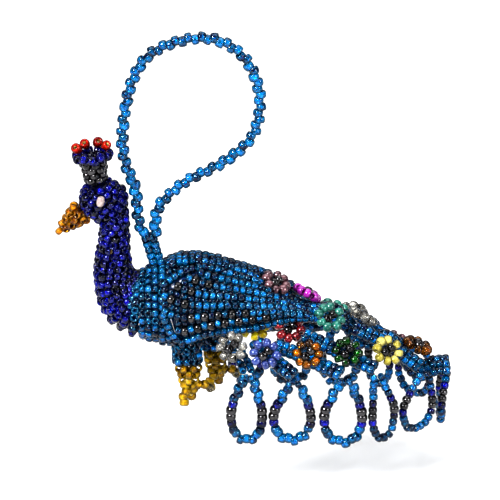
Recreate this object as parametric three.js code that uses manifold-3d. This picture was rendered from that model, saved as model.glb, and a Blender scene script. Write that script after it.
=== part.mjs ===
// A peacock ornament woven from glass seed beads on nylon thread, with a beaded loop to hang it by.
//
// Units are millimetres and +Z is up. The bird faces -X, and its left side is towards -Y.
// The shapes below are laid out from a level just under the lowest fringe beads. The whole bird is
// then lowered by HANG_HEIGHT, so that the origin is where a hook touches the inside of the loop.

import * as THREE from 'three';
import { mergeVertices } from 'three/addons/utils/BufferGeometryUtils.js';
import Module from 'manifold-3d';

// Driving dimensions.
const HANG_HEIGHT = 105.5;
const BEAD = 2.1; // outer diameter of a seed bead
const BIG_BEAD = 2.55; // outer diameter of a crest bead
const STRAND = 2.3; // thickness of a zigzag strand of beads
const RIB = 2.7; // thickness of a double strand in the tail
const SHELL = 1.8; // thickness of a woven wall, one bead deep
const CLEARANCE = 0.3; // gap between pieces that touch

const HEAD_CENTRE = new THREE.Vector3(-26, 0, 64.6);
const HEAD_RADII = new THREE.Vector3(6.4, 5.6, 6.1);
const CREST_BASE = new THREE.Vector3(-27.7, 0, 69.4);
const CREST_TILT = THREE.MathUtils.degToRad(-7);
const COLLAR_HEIGHT = 5.8;
const CREST_RADIUS = 4.1; // centre line of the crest's ring of beads
const FLOWER_RADIUS = 2.75; // centre line of a flower's ring of beads
const LEG_SPREAD = 5.2; // distance of each leg from the middle plane
const LEG_SWING = 12; // degrees that a leg swings each way about LEG_PIVOT_HEIGHT
const LEG_PIVOT_HEIGHT = 28;
const STEM_FOOT = new THREE.Vector3(-12.7, 0, 47.6);
const STEM_TOP = new THREE.Vector3(-14.4, 0, 53.7);
const STEM_TILT = 20; // degrees that the stem tilts to each side about its foot
const UPPER_REACH = 0.7; // how far back a wing's upper edge runs, as a share of its lower edge

// The neck, breast and body are one line of upright ellipses, bent forwards and up at the front.
// Each station is [x, z, half width, half height, lean in degrees].
const NECK_STATIONS = [
  [-23.3, 58.6, 3.9, 3.9, 92],
  [-23.5, 53.4, 4.0, 4.1, 90],
  [-23.8, 48.6, 4.7, 4.9, 88],
  [-23.5, 44.6, 5.5, 5.4, 77],
  [-22.8, 41.9, 6.3, 6.3, 58],
  [-20.8, 38.4, 7.7, 7.8, 30],
  [-17.6, 36.9, 8.8, 8.7, 0],
];
const BODY_STATIONS = [
  [-17.2, 36.9, 8.9, 8.8, 0],
  [-13.5, 37.3, 9.8, 10.3, 0],
  [-9.0, 37.5, 10.3, 11.1, 0],
  [-4.0, 38.1, 10.1, 10.4, 0],
  [0.8, 38.5, 9.0, 9.0, 0],
  [5.5, 38.7, 7.4, 7.2, 0],
  [12.4, 39.2, 5.2, 5.2, 0],
];
// A wing wraps part of the way round ellipses of its own. Each station is
// [x, z of the centre, half width, half height, upper edge, lower edge], the edges in degrees from up.
const WING_STATIONS = [
  [-11.4, 37.5, 12.0, 12.6, 50, 84],
  [-7.0, 37.8, 12.4, 13.0, 36, 129],
  [-0.8, 38.1, 12.4, 12.0, 22, 122],
  [5.5, 37.9, 12.4, 10.1, 20, 120],
  [12.3, 37.9, 12.0, 8.1, 22, 122],
  [20.0, 37.7, 10.4, 5.3, 30, 112],
  [26.8, 36.2, 8.6, 3.2, 38, 98],
];
// The loops of the fringe on the left side, from the front to the end of the tail. Each has the points
// where its thread leaves the tail, where its two sides are widest, and how low it hangs.
const FRINGE = [
  { top: [10.0, -20, 25.4], front: [5.9, -20], back: [13.4, -20], low: 7.2 },
  { top: [21.6, -20, 23.6], front: [16.5, -20], back: [25.5, -20], low: 7.2 },
  { top: [34.2, -20, 24.4], front: [29.1, -20], back: [38.2, -20], low: 6.6 },
  { top: [42.0, -18.8, 25.2], front: [41.0, -19.8], back: [46.3, -17.0], low: 6.9 },
  { top: [54.0, -9.6, 22.2], front: [48.8, -15.2], back: [56.2, -8.4], low: 7.2 },
];
const FRINGE_END = { top: [60.4, 0, 20.6], front: [58.8, -5.6], back: [58.8, 5.6], low: 5.2 };
// Tail ribs on the left side, each from just beside the ridge, over the cape of the tail, to a loop.
const RIBS = [
  [[6.4, -9.6, 31.4], [7.6, -12.4, 28.8], [9.2, -15.8, 26.8], [9.9, -19, 26.2]],
  [[12, -10.6, 31], [14.2, -13.4, 28.6], [18, -16.8, 27], [21.3, -19.2, 25.2]],
  [[16.8, -12.6, 30.4], [22, -13.6, 28.9], [28, -16.4, 27], [33.2, -19, 25.6]],
  [[23.8, -12.2, 33.4], [30.4, -13.2, 30.4], [36.6, -14.6, 27.6], [41.6, -17.4, 26.4]],
  [[36.4, -6.0, 33.0], [41.6, -7, 30.8], [48.2, -7.2, 26.6], [53.2, -8.8, 23.4]],
];
const RIB_SAG = 2.6; // how much lower the middle of a rib hangs on the right side
// The ridge dips under each flower on top of the tail and rises between them.
const RIDGE = [
  [13.2, 42.6], [17.0, 40.5], [24.8, 36.4], [32.0, 35.8], [38.8, 29.0], [45.8, 28.4],
  [52.8, 20.3], [57.4, 21.8], [60.6, 21.9],
];
// Flowers: name, centre, direction that they face, turn of the two centre beads in degrees, colour.
const FLOWERS = [
  ['flower_left_crystal', [6.0, -18.4, 32.5], [-0.1, -0.85, 0.5], -50, 'crystal'],
  ['flower_left_periwinkle', [14.3, -18.6, 30.7], [0.1, -0.85, 0.5], -40, 'periwinkle'],
  ['flower_left_amber', [24.8, -18.0, 30.5], [0.1, -0.85, 0.5], -40, 'amber'],
  ['flower_left_green', [34.6, -16.6, 30.5], [0.1, -0.8, 0.6], -35, 'green'],
  ['flower_left_lemon', [44.8, -12.6, 29.3], [0.25, -0.75, 0.6], -40, 'lemon'],
  ['flower_left_yellow', [11.6, -7.3, 33.9], [0, -1, 0.1], -40, 'yellow'],
  ['flower_left_red', [20.5, -8.6, 33.6], [0.2, -0.7, 0.7], -40, 'red'],
  ['flower_left_teal', [30.4, -7.4, 36.2], [0.3, -0.7, 0.65], -40, 'teal'],
  ['flower_top_mauve', [17.0, -2.2, 43.5], [0.4, -0.3, 0.85], -30, 'mauve'],
  ['flower_top_magenta', [24.9, 2.6, 38.9], [0.45, 0.3, 0.84], 0, 'magenta'],
  ['flower_top_crystal', [39.0, 1.2, 33.0], [0.45, 0.25, 0.86], 0, 'crystal'],
  ['flower_top_topaz', [52.8, 0, 25.8], [0.4, 0.0, 0.92], 0, 'amber'],
  ['flower_right_yellow', [5.4, 17.0, 30.6], [-0.1, 0.85, 0.5], 50, 'yellow'],
  ['flower_right_green', [14.6, 18.2, 28.2], [0.1, 0.85, 0.5], 40, 'green'],
  ['flower_right_red', [25.6, 18.2, 28.0], [0.1, 0.85, 0.5], 40, 'red'],
  ['flower_right_crystal', [36.8, 17.0, 28.5], [0.1, 0.8, 0.6], 35, 'crystal'],
  ['flower_right_mauve', [46.8, 12.4, 22.4], [0.25, 0.75, 0.6], 40, 'mauve'],
  ['flower_right_teal', [32.0, 9.4, 32.2], [0.3, 0.7, 0.65], 40, 'teal'],
];
// The hanging loop's centre line: up the left strand, over the top and back down to the stem.
const LOOP_ROUTE = [
  [-16.1, 55.2], [-17.4, 59.6], [-17.7, 65.2], [-18.5, 69.2], [-20.2, 73.6], [-21.0, 78.0],
  [-21.0, 83.3], [-20.0, 90.0], [-18.6, 95.4], [-15.4, 101.2], [-10.6, 104.6], [-5.2, 106.3],
  [0.0, 106.65], [4.4, 105.4], [8.2, 102.6], [11.2, 98.2], [12.8, 92.6], [12.8, 87.4],
  [11.2, 81.6], [7.4, 77.2], [1.6, 73.2], [-4.4, 70.2], [-9.2, 66.4], [-12.6, 62.0],
  [-13.2, 55.4],
];

const AXIS_X = new THREE.Vector3(1, 0, 0);
const AXIS_Y = new THREE.Vector3(0, 1, 0);

const COLOURS = {
  capri: 0x0d7fd0,
  cobalt: 0x1420c0,
  hematite: 0x34343a,
  amber: 0xc98208,
  gold: 0xd9ad12,
  crestRed: 0xd62408,
  pearl: 0xd8cdc8,
  crystal: 0xd5d3ca,
  periwinkle: 0x5a62c0,
  green: 0x0f6a16,
  lemon: 0xd8cf60,
  yellow: 0xd8c51c,
  red: 0xb02c34,
  teal: 0x3f9c88,
  mauve: 0x8d6a74,
  magenta: 0xc238b0,
};

const wasm = await Module();
wasm.setup();

const bird = new THREE.Group();
bird.position.z = -HANG_HEIGHT;

function glass(colour) {
  const metalness = colour === 'hematite' ? 0.9 : 0.0;
  return new THREE.MeshStandardMaterial({ color: COLOURS[colour], roughness: 0.15, metalness });
}

function add(name, geometry, colour) {
  const mesh = new THREE.Mesh(geometry, glass(colour));
  mesh.name = name;
  bird.add(mesh);
  return mesh;
}

function vector(point) {
  return new THREE.Vector3(...point);
}

function mirrored(point) {
  return [point[0], -point[1], point[2]];
}

// The geometry with its shared vertices merged, which is what a closed solid needs.
function welded(geometry) {
  const copy = geometry.clone();
  for (const extra of ['normal', 'uv']) {
    copy.deleteAttribute(extra);
  }
  return mergeVertices(copy, 1e-4);
}

function toSolid(geometry) {
  const closed = welded(geometry);
  const mesh = new wasm.Mesh({
    numProp: 3,
    vertProperties: new Float32Array(closed.attributes.position.array),
    triVerts: new Uint32Array(closed.index.array),
  });
  return new wasm.Manifold(mesh);
}

function fromSolid(solid) {
  const mesh = solid.getMesh();
  const geometry = new THREE.BufferGeometry();
  geometry.setAttribute('position', new THREE.BufferAttribute(mesh.vertProperties, 3));
  geometry.setIndex(new THREE.BufferAttribute(mesh.triVerts, 1));
  geometry.computeVertexNormals();
  return geometry;
}

function joined(...geometries) {
  const solids = geometries.map(toSolid);
  return fromSolid(solids.reduce((sum, next) => sum.add(next)));
}

function without(geometry, ...cutters) {
  const solids = cutters.map(toSolid);
  return fromSolid(solids.reduce((rest, next) => rest.subtract(next), toSolid(geometry)));
}

// Moves every vertex to map(vertex), and turns the faces outwards if the map turned them in.
function reshaped(geometry, map) {
  const shape = welded(geometry);
  const places = shape.attributes.position;
  const point = new THREE.Vector3();
  for (let i = 0; i < places.count; i += 1) {
    point.fromBufferAttribute(places, i);
    const moved = map(point);
    places.setXYZ(i, moved.x, moved.y, moved.z);
  }
  if (signedVolume(shape) < 0) {
    shape.index.array.reverse();
  }
  shape.computeVertexNormals();
  return shape;
}

function signedVolume(geometry) {
  const places = geometry.attributes.position;
  const corners = [new THREE.Vector3(), new THREE.Vector3(), new THREE.Vector3()];
  let total = 0;
  for (let i = 0; i < geometry.index.count; i += 3) {
    corners.forEach((corner, k) => corner.fromBufferAttribute(places, geometry.index.getX(i + k)));
    total += corners[0].dot(corners[1].cross(corners[2]));
  }
  return total / 6;
}

// A solid strand along a smooth curve, with a regular polygon for its section.
function strand(points, thickness, steps, sides = 6) {
  const section = new THREE.Shape();
  for (let i = 0; i < sides; i += 1) {
    const angle = (2 * Math.PI * (i + 0.5)) / sides;
    const place = [0.5 * thickness * Math.cos(angle), 0.5 * thickness * Math.sin(angle)];
    if (i === 0) {
      section.moveTo(...place);
    } else {
      section.lineTo(...place);
    }
  }
  section.closePath();
  const path = new THREE.CatmullRomCurve3(points, false, 'centripetal');
  return new THREE.ExtrudeGeometry(section, { steps, extrudePath: path, bevelEnabled: false });
}

// The values of a list of stations at t from 0 to 1, on a smooth curve through them.
function stationAt(stations, t) {
  const place = t * (stations.length - 1);
  const i = Math.min(Math.floor(place), stations.length - 2);
  const f = place - i;
  const [a, b, c, d] = [i - 1, i, i + 1, i + 2].map(
    (k) => stations[THREE.MathUtils.clamp(k, 0, stations.length - 1)],
  );
  return b.map((_, k) => {
    const bend = 2 * a[k] - 5 * b[k] + 4 * c[k] - d[k];
    const twist = 3 * (b[k] - c[k]) + d[k] - a[k];
    return b[k] + 0.5 * f * (c[k] - a[k] + f * (bend + f * twist));
  });
}

// A point on a station's ellipse: angle 0 is up, or back on an upright neck, and 90 degrees is left.
function onStation(stations, t, angle, inset) {
  const [x, z, halfWidth, halfHeight, lean] = stationAt(stations, t);
  const tilt = THREE.MathUtils.degToRad(lean);
  const across = (halfWidth - inset) * Math.sin(angle);
  const along = (halfHeight - inset) * Math.cos(angle);
  return new THREE.Vector3(x + along * Math.sin(tilt), -across, z + along * Math.cos(tilt));
}

// A woven tube through the stations, open at both ends.
function wovenTube(stations, rows, sides) {
  const profile = [];
  for (let i = 0; i <= rows; i += 1) {
    profile.push(new THREE.Vector2(2, i / rows));
  }
  for (let i = rows; i >= 0; i -= 1) {
    profile.push(new THREE.Vector2(1, i / rows));
  }
  profile.push(profile[0].clone());
  const ring = new THREE.LatheGeometry(profile, sides);
  return reshaped(ring, (point) => {
    const outer = Math.hypot(point.x, point.z) > 1.5;
    const angle = Math.atan2(point.x, point.z);
    return onStation(stations, point.y, angle, outer ? 0 : SHELL);
  });
}

// The filled shape of the same stations, larger all round by the clearance.
function stationCutter(stations) {
  const rod = new THREE.CylinderGeometry(1, 1, 1, 20, 12);
  return reshaped(rod, (point) => {
    const radius = Math.hypot(point.x, point.z);
    const angle = Math.atan2(point.x, point.z);
    const edge = onStation(stations, point.y + 0.5, angle, -CLEARANCE);
    const middle = onStation(stations, point.y + 0.5, angle + Math.PI, -CLEARANCE);
    return edge.lerp(middle, 0.5 * (1 - radius));
  });
}

// Copies of a cutter turned about a pivot, which trim a swinging piece to clear its neighbour.
function turnedCopies(cutter, pivot, axis, angles) {
  return angles.map((angle) => {
    const copy = cutter.clone();
    copy.translate(-pivot.x, -pivot.y, -pivot.z);
    copy.applyQuaternion(
      new THREE.Quaternion().setFromAxisAngle(axis, THREE.MathUtils.degToRad(angle)),
    );
    return copy.translate(pivot.x, pivot.y, pivot.z);
  });
}

function ellipsoid(centre, radii, around, down) {
  const ball = new THREE.SphereGeometry(1, around, down);
  ball.scale(radii.x, radii.y, radii.z);
  ball.translate(centre.x, centre.y, centre.z);
  return ball;
}

function headCutter() {
  return ellipsoid(HEAD_CENTRE, HEAD_RADII.clone().addScalar(CLEARANCE), 20, 14);
}

function makeHead() {
  const opening = THREE.MathUtils.degToRad(138);
  const steps = 9;
  const wall = SHELL / HEAD_RADII.z;
  const profile = [];
  for (let i = 0; i <= steps; i += 1) {
    const angle = (opening * i) / steps;
    profile.push(new THREE.Vector2(Math.sin(angle), Math.cos(angle)));
  }
  for (let i = steps; i >= 0; i -= 1) {
    const angle = (opening * i) / steps;
    const radius = 1 - wall;
    profile.push(new THREE.Vector2(radius * Math.sin(angle), radius * Math.cos(angle)));
  }
  const shell = reshaped(new THREE.LatheGeometry(profile, 16), (point) => {
    const turned = new THREE.Vector3(point.x, -point.z, point.y);
    return turned.multiply(HEAD_RADII).add(HEAD_CENTRE);
  });
  add('head_shell', without(shell, stationCutter(NECK_STATIONS)), 'cobalt');
}

function makeBeak() {
  const length = 10.2;
  const profile = [
    new THREE.Vector2(0, 0),
    new THREE.Vector2(3.0, 0),
    new THREE.Vector2(2.6, 4.6),
    new THREE.Vector2(1.3, length - 0.9),
    new THREE.Vector2(0.7, length),
    new THREE.Vector2(0, length),
  ];
  const cone = new THREE.LatheGeometry(profile, 12);
  const aim = new THREE.Vector3(-0.74, 0, -0.67).normalize();
  const turn = new THREE.Quaternion().setFromUnitVectors(AXIS_Y, aim);
  const start = HEAD_CENTRE.clone().add(new THREE.Vector3(-4.3, 0, -2.0));
  const placed = reshaped(cone, (point) => point.clone().applyQuaternion(turn).add(start));
  add('beak', without(placed, headCutter()), 'amber');
}

function makeEyes() {
  const radii = new THREE.Vector3(1.15, 1.0, 1.4);
  for (const [name, side] of [['eye_left', -1], ['eye_right', 1]]) {
    const centre = new THREE.Vector3(-26.5, side * (HEAD_RADII.y + 0.45), 66.2);
    add(name, without(ellipsoid(centre, radii, 10, 8), headCutter()), 'pearl');
  }
}

function crestPoint(radius, height, angle) {
  const tilted = new THREE.Vector3(radius * Math.cos(angle), radius * Math.sin(angle), height);
  return tilted.applyAxisAngle(AXIS_Y, CREST_TILT).add(CREST_BASE);
}

function makeCrest() {
  const profile = [
    new THREE.Vector2(3.3, -2),
    new THREE.Vector2(3.4, 1.4),
    new THREE.Vector2(4.3, COLLAR_HEIGHT),
    new THREE.Vector2(4.3 - SHELL, COLLAR_HEIGHT),
    new THREE.Vector2(3.4 - SHELL, 1.4),
    new THREE.Vector2(3.3 - SHELL, -2),
    new THREE.Vector2(3.3, -2),
  ];
  const collar = reshaped(new THREE.LatheGeometry(profile, 14), (point) =>
    crestPoint(Math.hypot(point.x, point.z), point.y, Math.atan2(point.z, point.x)),
  );
  add('crest_collar', without(collar, headCutter()), 'hematite');

  const rimHeight = COLLAR_HEIGHT + CLEARANCE + 0.5 * BEAD;
  const rim = new THREE.TorusGeometry(CREST_RADIUS, 0.5 * BEAD, 6, 14);
  const placedRim = reshaped(rim, (point) =>
    crestPoint(Math.hypot(point.x, point.y), rimHeight + point.z, Math.atan2(point.y, point.x)),
  );
  add('crest_rim', placedRim, 'cobalt');

  const beadHeight = rimHeight + 0.5 * (BEAD + BIG_BEAD) + CLEARANCE - 0.1;
  const beadRadii = new THREE.Vector3().setScalar(0.5 * BIG_BEAD);
  const angles = [176, 118, 66, 4];
  angles.forEach((angle, i) => {
    const centre = crestPoint(CREST_RADIUS - 0.4, beadHeight, THREE.MathUtils.degToRad(angle));
    add(`crest_bead_${i + 1}`, ellipsoid(centre, beadRadii, 10, 8), 'crestRed');
  });
}

function makeNeckAndBody() {
  add('neck_shell', wovenTube(NECK_STATIONS, 12, 16), 'cobalt');
  add('body_shell', wovenTube(BODY_STATIONS, 9, 18), 'capri');
}

function makeWings() {
  for (const [name, side] of [['wing_left', 1], ['wing_right', -1]]) {
    const panel = new THREE.BoxGeometry(1, 1, 1, 10, 8, 1);
    const wing = reshaped(panel, (point) => {
      const reach = THREE.MathUtils.lerp(UPPER_REACH, 1, point.y + 0.5);
      const station = stationAt(WING_STATIONS, reach * (point.x + 0.5));
      const [x, z, halfWidth, halfHeight, upper, lower] = station;
      const angle = THREE.MathUtils.degToRad(THREE.MathUtils.lerp(upper, lower, point.y + 0.5));
      const inset = point.z > 0 ? 0 : SHELL;
      const across = (halfWidth - inset) * Math.sin(angle);
      return new THREE.Vector3(x, -side * across, z + (halfHeight - inset) * Math.cos(angle));
    });
    add(name, without(wing, stationCutter(BODY_STATIONS)), 'capri');
  }
}

// A leg is a short oval tube under the belly; its foot tapers to three toes.
function makeLeg(side, x, lift) {
  const name = side < 0 ? 'left' : 'right';
  const y = side * LEG_SPREAD;
  const top = 33 + lift;
  const ankle = 22.6 + lift;
  const leg = new THREE.CylinderGeometry(1, 0.94, 1, 14, 1);
  const placed = reshaped(leg, (point) =>
    new THREE.Vector3(x + 3.7 * point.x, y + 2.9 * point.z, 0.5 * (top + ankle) + (top - ankle) * point.y),
  );
  const pivot = new THREE.Vector3(x, y, LEG_PIVOT_HEIGHT);
  const belly = stationCutter(BODY_STATIONS);
  const bellies = turnedCopies(belly, pivot, AXIS_Y, [-LEG_SWING, 0, LEG_SWING]);
  add(`leg_${name}`, without(placed, ...bellies), 'capri');

  const footTop = ankle - CLEARANCE;
  const heel = new THREE.CylinderGeometry(1, 0.62, 1, 14, 1);
  const heelHeight = 6.0;
  const placedHeel = reshaped(heel, (point) =>
    new THREE.Vector3(
      x + 0.4 + 3.3 * point.x,
      y + 2.4 * point.z,
      footTop - 0.5 * heelHeight + heelHeight * point.y,
    ),
  );
  const toeRoot = footTop - heelHeight + 1.2;
  const toeEnds = [[-1.6, -1.2, -5.8], [1.2, 1.0, -4.8], [5.6, 0.2, -1.8]];
  const toes = toeEnds.map(([forward, out, down]) => {
    const start = new THREE.Vector3(x + 0.4 + 0.3 * forward, y + 0.3 * out, toeRoot);
    const end = new THREE.Vector3(x + 0.4 + forward, y + out, toeRoot + down);
    return strand([start, end], STRAND, 2, 8);
  });
  add(`foot_${name}`, joined(placedHeel, ...toes), 'gold');
}

function makeTail() {
  const ridge = RIDGE.map(([x, z]) => new THREE.Vector3(x, 0, z));
  add('tail_ridge', strand(ridge, RIB, 18, 8), 'capri');
  RIBS.forEach((route, i) => {
    add(`tail_rib_left_${i + 1}`, strand(route.map(vector), RIB, 6, 8), 'capri');
    const sagged = route.map(([x, y, z], k) => {
      const middle = k > 0 && k < route.length - 1;
      return new THREE.Vector3(x, -y, middle ? z - RIB_SAG : z);
    });
    add(`tail_rib_right_${i + 1}`, strand(sagged, RIB, 6, 8), 'capri');
  });
}

function makeFlower(name, centre, facing, turn, colour) {
  const ring = new THREE.TorusGeometry(FLOWER_RADIUS, 0.5 * BEAD, 5, 8);
  const pair = new THREE.CapsuleGeometry(0.42 * BEAD, 2 * FLOWER_RADIUS - 0.6, 1, 6);
  pair.rotateZ(THREE.MathUtils.degToRad(turn));
  const mesh = add(name, joined(ring, pair), colour);
  mesh.position.copy(vector(centre));
  mesh.quaternion.setFromUnitVectors(new THREE.Vector3(0, 0, 1), vector(facing).normalize());
}

// A fringe loop leaves the tail as two strands side by side, spreads, and closes in a round bottom.
function makeFringeLoop(name, { top, front, back, low }) {
  const start = vector(top);
  const ends = [front, back].map(([x, y]) => new THREE.Vector3(x, y, 0));
  const middle = ends[0].clone().add(ends[1]).multiplyScalar(0.5);
  const across = ends[1].clone().sub(ends[0]);
  const half = 0.5 * across.length();
  across.normalize();
  const bottom = low + 0.5 * STRAND;
  const point = (side, z, pull) => {
    const place = start.clone().lerp(middle, pull);
    return place.addScaledVector(across, side).setZ(z);
  };
  const parting = 0.5 * (STRAND + CLEARANCE);
  const rise = start.z - bottom;
  const down = (side) => [
    point(side * parting, start.z - 0.8, 0),
    point(side * Math.max(0.62 * half, 1.2 * parting), bottom + 0.76 * rise, 0.45),
    point(side * half, bottom + 0.48 * rise, 1),
    point(side * half, bottom + 0.28 * rise, 1),
    point(side * 0.66 * half, bottom + 0.07 * rise, 1),
  ];
  const route = [...down(-1), point(0, bottom, 1), ...down(1).reverse()];
  add(name, strand(route, STRAND, 20), 'capri');
}

function makeFringe() {
  FRINGE.forEach((loop, i) => {
    makeFringeLoop(`fringe_left_${i + 1}`, loop);
    makeFringeLoop(`fringe_right_${i + 1}`, {
      top: mirrored(loop.top),
      front: [loop.front[0], -loop.front[1]],
      back: [loop.back[0], -loop.back[1]],
      low: loop.low,
    });
  });
  makeFringeLoop('fringe_end', FRINGE_END);
}

// The stem is stitched to the middle of the back, and both ends of the loop leave from its top.
function makeHanger() {
  const below = STEM_FOOT.clone().lerp(STEM_TOP, -0.2);
  const stem = strand([below, STEM_TOP], 4.0, 2, 8);
  const back = stationCutter(BODY_STATIONS);
  const backs = turnedCopies(back, STEM_FOOT, AXIS_X, [-STEM_TILT, 0, STEM_TILT]);
  add('hang_stem', without(stem, ...backs), 'capri');
  const route = LOOP_ROUTE.map(([x, z]) => new THREE.Vector3(x, 0, z));
  add('hang_loop', strand(route, STRAND + 0.2, 60, 8), 'capri');
}

makeHanger();
makeHead();
makeBeak();
makeEyes();
makeCrest();
makeNeckAndBody();
makeWings();
makeLeg(-1, -5.3, 0.4);
makeLeg(1, 1.4, 0.4);
makeTail();
FLOWERS.forEach((flower) => makeFlower(...flower));
makeFringe();

export default bird;
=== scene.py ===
"""The looks of a peacock ornament woven from glass seed beads.

Every bead is a small lathed glass ring with a lined hole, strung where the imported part's shells,
strands and rings lie. Tables are in millimetres above a level under the fringe, as the part's source
has them, and HANG_HEIGHT lowers them into the row frame. Blender objects are in metres.
"""

import math
import random

import bpy
import numpy as np
from mathutils import Matrix, Vector


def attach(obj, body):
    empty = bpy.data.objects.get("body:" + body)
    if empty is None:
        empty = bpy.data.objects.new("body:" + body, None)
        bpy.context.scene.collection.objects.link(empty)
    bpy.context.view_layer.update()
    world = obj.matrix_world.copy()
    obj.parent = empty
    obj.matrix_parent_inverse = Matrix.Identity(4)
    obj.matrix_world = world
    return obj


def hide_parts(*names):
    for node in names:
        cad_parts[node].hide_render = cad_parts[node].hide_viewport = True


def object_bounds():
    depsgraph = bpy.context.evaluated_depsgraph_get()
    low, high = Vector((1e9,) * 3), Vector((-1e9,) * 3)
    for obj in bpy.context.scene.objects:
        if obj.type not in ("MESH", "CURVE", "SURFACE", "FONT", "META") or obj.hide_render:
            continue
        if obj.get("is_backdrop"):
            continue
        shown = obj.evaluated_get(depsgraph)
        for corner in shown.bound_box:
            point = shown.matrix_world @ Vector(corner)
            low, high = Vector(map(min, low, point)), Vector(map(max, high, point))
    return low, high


MM = 0.001
HANG_HEIGHT = 105.5

BEAD = 2.1  # outer diameter of a seed bead
BEAD_LENGTH = 1.5
FULLNESS = 1.05  # beads are this much larger than nominal, which narrows the gaps between them
PITCH = 1.62  # distance from bead to bead on a strand
CREST_RADIUS = 4.1
CREST_BEAD = 2.45  # height of the red beads on the crest
FLOWER_RADIUS = 2.75
FLOWER_BEADS = 8
UPPER_REACH = 0.7  # how far back a wing's upper edge runs, as a share of its lower edge
UP = Vector((0, 0, 1))
RIGHT = Vector((0, 1, 0))

HEAD_CENTRE = Vector((-26, 0, 64.6))
HEAD_RADII = Vector((6.4, 5.6, 6.1))
CREST_BASE = Vector((-27.7, 0, 69.4))
CREST_TILT = math.radians(-7)
COLLAR_HEIGHT = 5.8
# Rings of beads up the crest's collar: height, radius, number of beads.
COLLAR_RINGS = [(0.9, 2.05, 6), (2.28, 2.23, 6), (3.66, 2.41, 7), (5.04, 2.59, 7)]
# Two rings of beads round the crest's rim: number of beads, radius, how far below its top.
RIM_RINGS = [(11, CREST_RADIUS, 0.3), (8, CREST_RADIUS - 1.3, 1.1)]
CREST_ANGLES = [176, 118, 66, 4]
EYE = Vector((-26.5, 6.05, 66.2))
# How near a bead of the head may come to the crest's base, to an eye and to the neck's axis.
CREST_ROOM = 3.0
EYE_ROOM = 1.5
NECK_ROOM = 2.9
BEAK_ROOM = 0.93  # the cosine of the angle from the beak that is kept free of beads
BEAK_AIM = Vector((-0.74, 0, -0.67)).normalized()
BEAK_START = Vector((-30.3, 0, 62.6))
BEAK_LENGTH = 10.2
# Rings of beads along the beak: distance from its start, radius, number of beads.
BEAK_RINGS = [(2.2, 2.35, 7), (4.0, 2.0, 6), (5.7, 1.5, 5), (7.2, 1.0, 3)]
STEM_FOOT = Vector((-12.7, 0, 47.6))
STEM_TOP = Vector((-14.4, 0, 53.7))
LOOP_PIVOT = Vector((-14.6, 0, 54.9))  # a bead here keeps the loop joined to its stem as it swings

# Each station is [x, z, half width, half height, lean in degrees].
NECK_STATIONS = [
    [-23.2, 62.4, 3.6, 3.6, 92],
    [-23.3, 58.6, 3.9, 3.9, 92],
    [-23.5, 53.4, 4.0, 4.1, 90],
    [-23.8, 48.6, 4.7, 4.9, 88],
    [-23.5, 44.6, 5.5, 5.4, 77],
    [-22.8, 41.9, 6.3, 6.3, 58],
    [-20.8, 38.4, 7.7, 7.8, 30],
    [-17.6, 36.9, 8.8, 8.7, 0],
]
BODY_STATIONS = [
    [-17.2, 36.9, 8.9, 8.8, 0],
    [-13.5, 37.3, 9.8, 10.3, 0],
    [-9.0, 37.5, 10.3, 11.1, 0],
    [-4.0, 38.1, 10.1, 10.4, 0],
    [0.8, 38.5, 9.0, 9.0, 0],
    [5.5, 38.7, 7.4, 7.2, 0],
    [12.4, 39.2, 5.2, 5.2, 0],
]
# The strands along the middle of the back: x and z, then y and drop of each strand.
BACK_LINE = [
    (-9.6, 48.4), (-6.0, 49.2), (-2.0, 49.2), (2.0, 48.6), (6.0, 47.4), (9.6, 46.1), (12.6, 44.8),
]
BACK_STRANDS = [(-2.1, 0.15), (0, 0), (2.1, 0.15)]
# Each station is [x, z of the centre, half width, half height, upper edge, lower edge].
WING_STATIONS = [
    [-11.4, 37.5, 12.0, 12.6, 50, 84],
    [-7.0, 37.8, 12.4, 13.0, 36, 129],
    [-0.8, 38.1, 12.4, 12.0, 22, 122],
    [5.5, 37.9, 12.4, 10.1, 20, 120],
    [12.3, 37.9, 12.0, 8.1, 22, 122],
    [20.0, 37.7, 10.4, 5.3, 30, 112],
    [26.8, 36.2, 8.6, 3.2, 38, 98],
]
# How the rows of beads fan out over a wing: upper and lower angle at each of its stations.
WING_GRAIN = [(-14, 122), (0, 131), (20, 122), (20, 115), (22, 110), (30, 102), (38, 92)]
# Where cobalt beads give way to capri ones: [z, x] up the breast.
BREAST_BORDER = [(28.0, -17.5), (31.6, -18.4), (35.6, -19.8), (40.0, -20.2), (42.0, -18.8), (48.0, -15.6)]
WING_ROWS = 8
# Where the lowest row of a wing lies and how far the rows reach up, as shares of the way down it.
LOWEST_ROW = 0.965
ROW_REACH = 0.957
ROW_DEPTH = 0.95
DEEP_ROW_DEPTH = 1.7
# Rows of a wing, counted up from its lower edge, that carry hematite beads: first x, last x.
HEMATITE_ROWS = {
    1: (-5.9, 15.6), 2: (-6.8, 11.0), 3: (-10.0, -5.6), 4: (-10.6, -1.0), 5: (-9.6, 3.6),
}
LEGS = [("left", -1, -5.3), ("right", 1, 1.4)]  # name, side, x
LEG_SPREAD = 5.2
LEG_RINGS = 6
LEG_RADII = (2.9, 2.0)
ANKLE = 23.0
# Rings of beads down each foot: z, half length, half width.
FOOT_RINGS = [(21.8, 2.4, 1.6), (20.2, 2.1, 1.4), (18.6, 1.6, 1.1), (17.2, 1.1, 0.8)]
TOE_ROOT = ANKLE - 5.1
# How far each toe reaches back, to the right and up from the foot. The last one ends in a smoky bead.
TOE_ENDS = [(-1.6, -1.2, -5.8), (1.2, 1.0, -4.8), (5.6, 0.2, -1.8)]

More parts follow.
